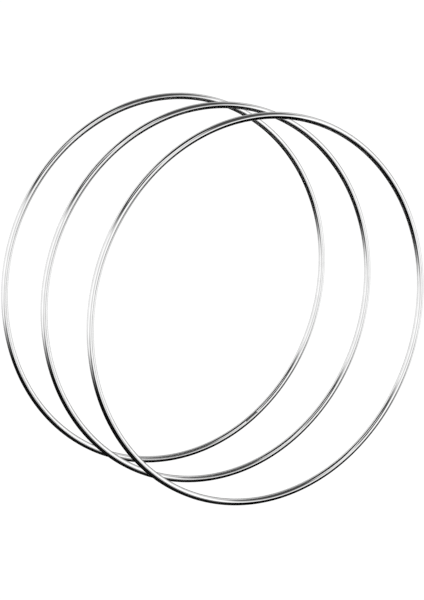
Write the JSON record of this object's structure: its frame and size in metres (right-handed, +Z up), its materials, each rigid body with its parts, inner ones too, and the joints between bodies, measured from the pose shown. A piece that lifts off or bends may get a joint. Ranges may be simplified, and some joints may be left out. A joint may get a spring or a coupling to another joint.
{
  "type": "wreath frame",
  "caption": "Loose round wreath rings of bright-plated steel wire, each closed by a butt weld, hung on edge in a row.",
  "frame": {"origin": "centre of the row's bounding box, on the rings' common axis", "axes": "+Y along the rings' common axis, from the front ring to the rear ring; +Z up; +X to the right as seen from the front"},
  "size_m": [0.3, 0.1414, 0.3],
  "materials": {
    "bright_plating": "mirror-bright plating over drawn steel wire",
    "ground_weld": "weld flash ground flat, satin"
  },
  "bodies": {
    "middle_ring": {"middle_ring_wire": "bright_plating", "middle_ring_weld": "ground_weld"},
    "front_ring": {"front_ring_wire": "bright_plating", "front_ring_weld": "ground_weld"},
    "rear_ring": {"rear_ring_wire": "bright_plating", "rear_ring_weld": "ground_weld"}
  },
  "joints": [
    {"name": "front_ring_slide", "type": "slide", "parent": "middle_ring", "child": "front_ring", "axis": [0, 1, 0], "range_m": [-0.15, 0.0656]},
    {"name": "rear_ring_slide", "type": "slide", "parent": "middle_ring", "child": "rear_ring", "axis": [0, 1, 0], "range_m": [-0.0596, 0.15]}
  ]
}
